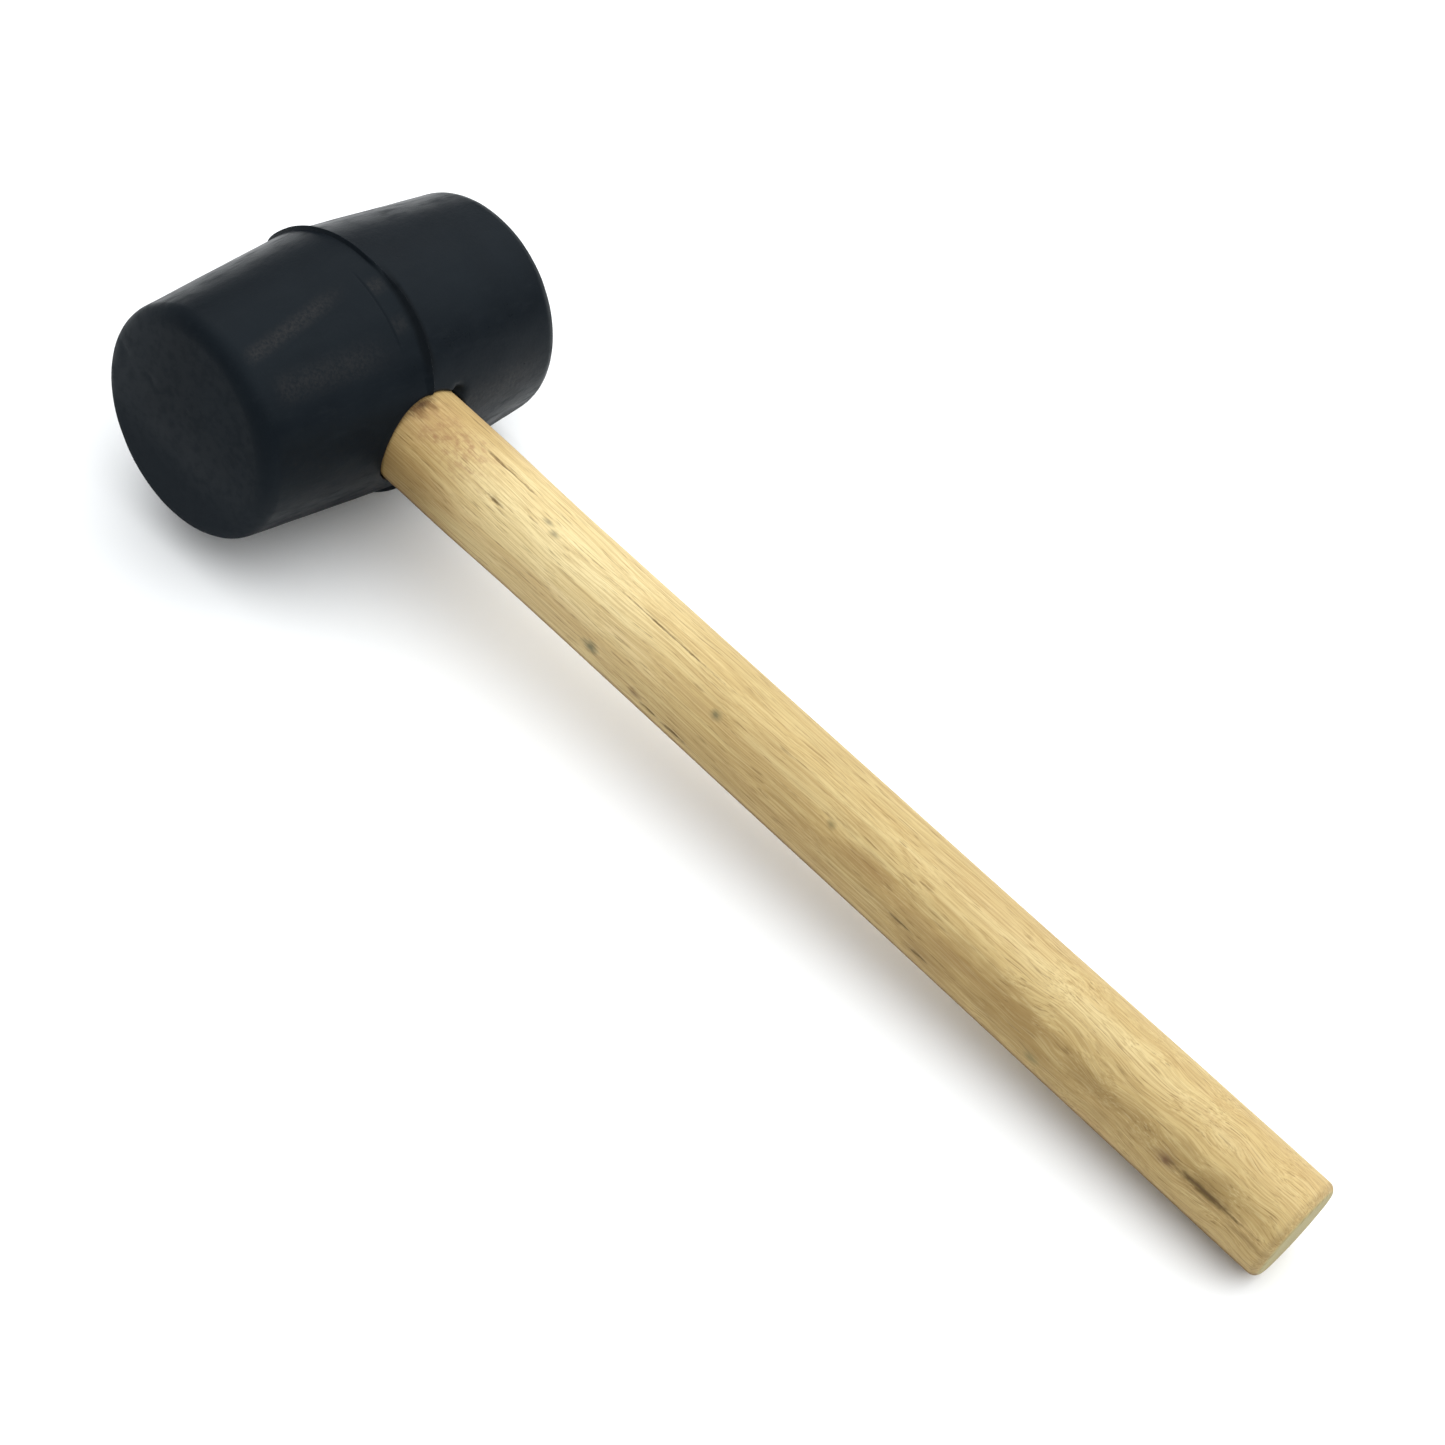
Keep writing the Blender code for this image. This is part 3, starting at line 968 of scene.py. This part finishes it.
# What the grain does to the tone: noise, where the effect starts and is full, strength, colour.
GRAIN_TONES = (
    ("blotch", 0.46, 0.68, 0.28, (0.70, 0.485, 0.255)),
    ("line", 0.50, 0.66, 0.38, (0.52, 0.360, 0.150)),
    ("line", 0.48, 0.32, 0.22, (0.93, 0.790, 0.460)),
    ("thread", 0.50, 0.62, 0.42, (0.50, 0.345, 0.145)),
    ("thread", 0.48, 0.36, 0.25, (0.95, 0.810, 0.470)),
    ("fibre", 0.50, 0.66, 0.42, (0.47, 0.320, 0.140)),
    ("pores", 0.58, 0.72, 0.60, (0.30, 0.195, 0.080)),
)
SPECKLE = (0.55, 0.345, 0.175)
OPEN_SPLIT = (0.17, 0.105, 0.045)
RIM_DIRT = (0.28, 0.19, 0.085)

# Colours that darken parts of the handle, each multiplied into its tone: partly dirt and partly
# painted shade near the head, painted shade on the lower side and underneath, and darker wood
# towards the butt.
DIRT_AND_SHADE_BY_HEAD = (0.72, 0.65, 0.55)
SEASONED = (0.83, 0.79, 0.71)
UNDERSIDE_SHADE = (0.50, 0.43, 0.34)
LOWER_SIDE_SHADE = (0.86, 0.84, 0.80)
LOWER_SHADE_BY_HEAD = (0.80, 0.78, 0.74)
WHOLE_HANDLE = (0.845, 0.845, 0.845)


def bend_grain(tree, place, along):
    """Where the grain is read: it wanders along the handle, and curls near the butt."""
    wander = tree.push(place, (0.014, 0.06, 0.06), detail=2.0)
    wander = tree.vector("MULTIPLY", wander, (0.0, 6.0, 6.0))
    curl = tree.push(place, (0.055, 0.11, 0.11), detail=1.0)
    curl = tree.vector("SUBTRACT", curl, (0.5, 0.5, 0.5))
    curl = tree.vector("MULTIPLY", curl, (0.0, 1.0, 1.0))
    amount = tree.range(along, 205.0, 250.0, 0.0, 7.0)
    curl = tree.add("VectorMath", {0: curl, "Scale": amount}, operation="SCALE").outputs["Vector"]
    return tree.vector("ADD", tree.vector("ADD", place, wander), curl)


def wood_grain(tree, place):
    """The noises that the grain is made of, from the broadest to the finest."""
    return {
        "blotch": tree.noise(place, (0.016, 0.10, 0.10)),
        "band": tree.noise(place, (0.010, 0.42, 0.42), roughness=0.6),
        "line": tree.noise(place, (0.030, 1.9, 1.9), detail=2.0, roughness=0.6),
        "thread": tree.noise(place, (0.014, 2.7, 2.7), roughness=0.6),
        "pores": tree.noise(place, (0.13, 2.3, 2.3), detail=2.0),
        "fibre": tree.noise(place, (0.10, 4.2, 4.2), detail=4.0, roughness=0.7),
    }


def uneven_edge(tree, place, per_mm):
    """A number from -0.35 to 0.35, for the outline of a spot."""
    edge = tree.noise(place, per_mm, detail=4.0)
    return tree.range(edge, 0.3, 0.7, -0.35, 0.35, smooth=False)


def add_marks(tree, tone, flat, place, broad_edge):
    """The reddish speckles near the head, the stains, and dark dirt in the open splits."""
    speckle = tree.noise(place, (0.35, 0.55, 0.55), detail=4.0, roughness=0.65)
    by_head = spot(tree, flat, 43.0, 24.0, 15.0, 7.5, broad_edge, soft=0.0)
    tone = tree.mix(tree.times(tree.range(speckle, 0.42, 0.68), by_head), tone, SPECKLE)
    ragged = uneven_edge(tree, place, (0.5, 1.8, 1.8))
    tone = add_spots(tree, tone, flat, STAINS_MM, tree.times(ragged, 0.6), soft=0.0)
    splits = [
        (at, angle, length * 0.52, width * 0.6, OPEN_SPLIT, 0.75)
        for at, angle, length, width, _, _ in SPLITS_MM
    ]
    return add_spots(tree, tone, flat, splits, ragged, soft=0.25)


def add_dirt_and_shade(tree, tone, along, arc):
    """The handle's broad dirt and painted shade: dirt and painted shade near the head, darker wood
    towards the butt, and painted shade on the lower side and underneath.
    """
    dirt_and_shade = tree.range(along, 64.0, 38.0)
    lower = tree.range(arc, 12.0, 20.0)
    under = tree.times(tree.range(arc, 24.8, 27.0), tree.range(arc, 37.0, 31.0))
    # Partly dirt and partly painted shade near the head.
    tone = tree.shade(dirt_and_shade, tone, DIRT_AND_SHADE_BY_HEAD)
    tone = tree.shade(tree.range(along, 92.0, 140.0), tone, SEASONED)
    # Painted shade underneath, on the lower side, and more on the lower side near the head.
    tone = tree.shade(under, tone, UNDERSIDE_SHADE)
    tone = tree.shade(lower, tone, LOWER_SIDE_SHADE)
    return tree.shade(tree.times(lower, dirt_and_shade), tone, LOWER_SHADE_BY_HEAD)


def add_ends(tree, tone, along, place):
    """Dirt on the butt's rim, and growth rings on both sawn ends."""
    butt = REACH / MM
    crown = CROWN_X / MM
    rim = tree.times(
        tree.range(along, butt - 2.6, butt - 1.2),
        tree.range(along, butt, butt - 0.7),
        tree.range(tree.noise(place, 0.9), 0.25, 0.6, 0.1, 0.40),
    )
    tone = tree.mix(rim, tone, RIM_DIRT)
    from_heart = tree.vector("ADD", place, (0.0, 30.0, -22.0))
    rings = tree.add(
        "TexWave",
        {"Vector": from_heart, "Scale": 0.16, "Distortion": 1.2, "Detail": 3.0},
        wave_type="RINGS",
        rings_direction="X",
    ).outputs["Fac"]
    sawn = tree.mix(rings, (0.36, 0.295, 0.130), (0.45, 0.385, 0.180))
    dots = tree.range(tree.noise(place, (1.0, 3.0, 3.0)), 0.52, 0.70, 0.0, 0.5)
    sawn = tree.mix(dots, sawn, (0.34, 0.27, 0.13))
    on_butt = tree.range(along, butt - 0.5, butt - 0.15)
    on_tenon = tree.range(along, crown + 0.5, crown + 0.15)
    return tree.mix(tree.math("MAXIMUM", on_butt, on_tenon), tone, sawn)


def make_handle_wood():
    """Pale hardwood with lengthwise grain, stains, a knot, dirt, painted shade and end grain."""
    tree = Tree("pale_hardwood")
    place = tree.place()
    flat, along, arc = unrolled(tree, place)
    grain = wood_grain(tree, bend_grain(tree, place, along))
    broad_edge = uneven_edge(tree, place, (0.08, 0.35, 0.35))

    tone = tree.ramp(grain["band"], (
        (0.32, (0.72, 0.535, 0.245)),
        (0.50, (0.80, 0.615, 0.295)),
        (0.68, (0.86, 0.690, 0.350)),
    ))
    tone = add_spots(tree, tone, flat, TONES_MM, broad_edge, soft=-0.1)
    for name, low, high, strength, colour in GRAIN_TONES:
        tone = tree.mix(tree.range(grain[name], low, high, 0.0, strength), tone, colour)
    tone = add_marks(tree, tone, flat, place, broad_edge)
    tone = add_dirt_and_shade(tree, tone, along, arc)
    tone = add_ends(tree, tone, along, place)
    tone = tree.shade(1.0, tone, WHOLE_HANDLE)

    height = tree.math("ADD", grain["fibre"], tree.times(grain["pores"], -1.2))
    normal = tree.bump(height, 0.06, 0.5)
    rough = tree.range(grain["fibre"], 0.3, 0.7, 0.56, 0.72)
    return tree.finish(tone, rough, normal, Specular_IOR_Level=0.25)


def make_wedge_wood():
    """A darker hardwood, cut across."""
    tree = Tree("wedge_wood")
    place = tree.place()
    grain = tree.noise(place, (0.05, 1.6, 1.6), detail=5.0, roughness=0.65)
    tone = tree.ramp(grain, (
        (0.30, (0.22, 0.12, 0.05)),
        (0.70, (0.50, 0.32, 0.15)),
    ))
    normal = tree.bump(grain, 0.08, 0.7)
    rough = tree.range(grain, 0.3, 0.7, 0.55, 0.75)
    return tree.finish(tone, rough, normal, Specular_IOR_Level=0.3)


def make_steel():
    """Dull brushed steel with spots of rust."""
    tree = Tree("wedge_steel")
    place = tree.place()
    pits = tree.noise(place, 1.8, detail=5.0, roughness=0.7)
    brushed = tree.noise(place, (4.0, 4.0, 0.4), detail=3.0)
    tone = tree.ramp(brushed, (
        (0.30, (0.33, 0.33, 0.32)),
        (0.70, (0.55, 0.55, 0.53)),
    ))
    tone = tree.mix(tree.range(pits, 0.56, 0.70, 0.0, 0.7), tone, (0.16, 0.085, 0.04))
    normal = tree.bump(tree.math("ADD", brushed, pits), 0.05, 0.5)
    rough = tree.range(pits, 0.35, 0.65, 0.32, 0.62)
    return tree.finish(tone, rough, normal, Metallic=1.0)


# ---------------------------------------------------------------- the scene


def main():
    bpy.context.scene.view_settings.view_transform = "Standard"
    make_camera()
    make_floor()
    make_world()
    for name, direction, watts in SOFT_BOXES:
        soft_box(name, direction, watts)
    make_head(make_rubber())
    make_handle(make_handle_wood())
    make_wood_wedge(make_wedge_wood())
    make_steel_wedge(make_steel())


main()
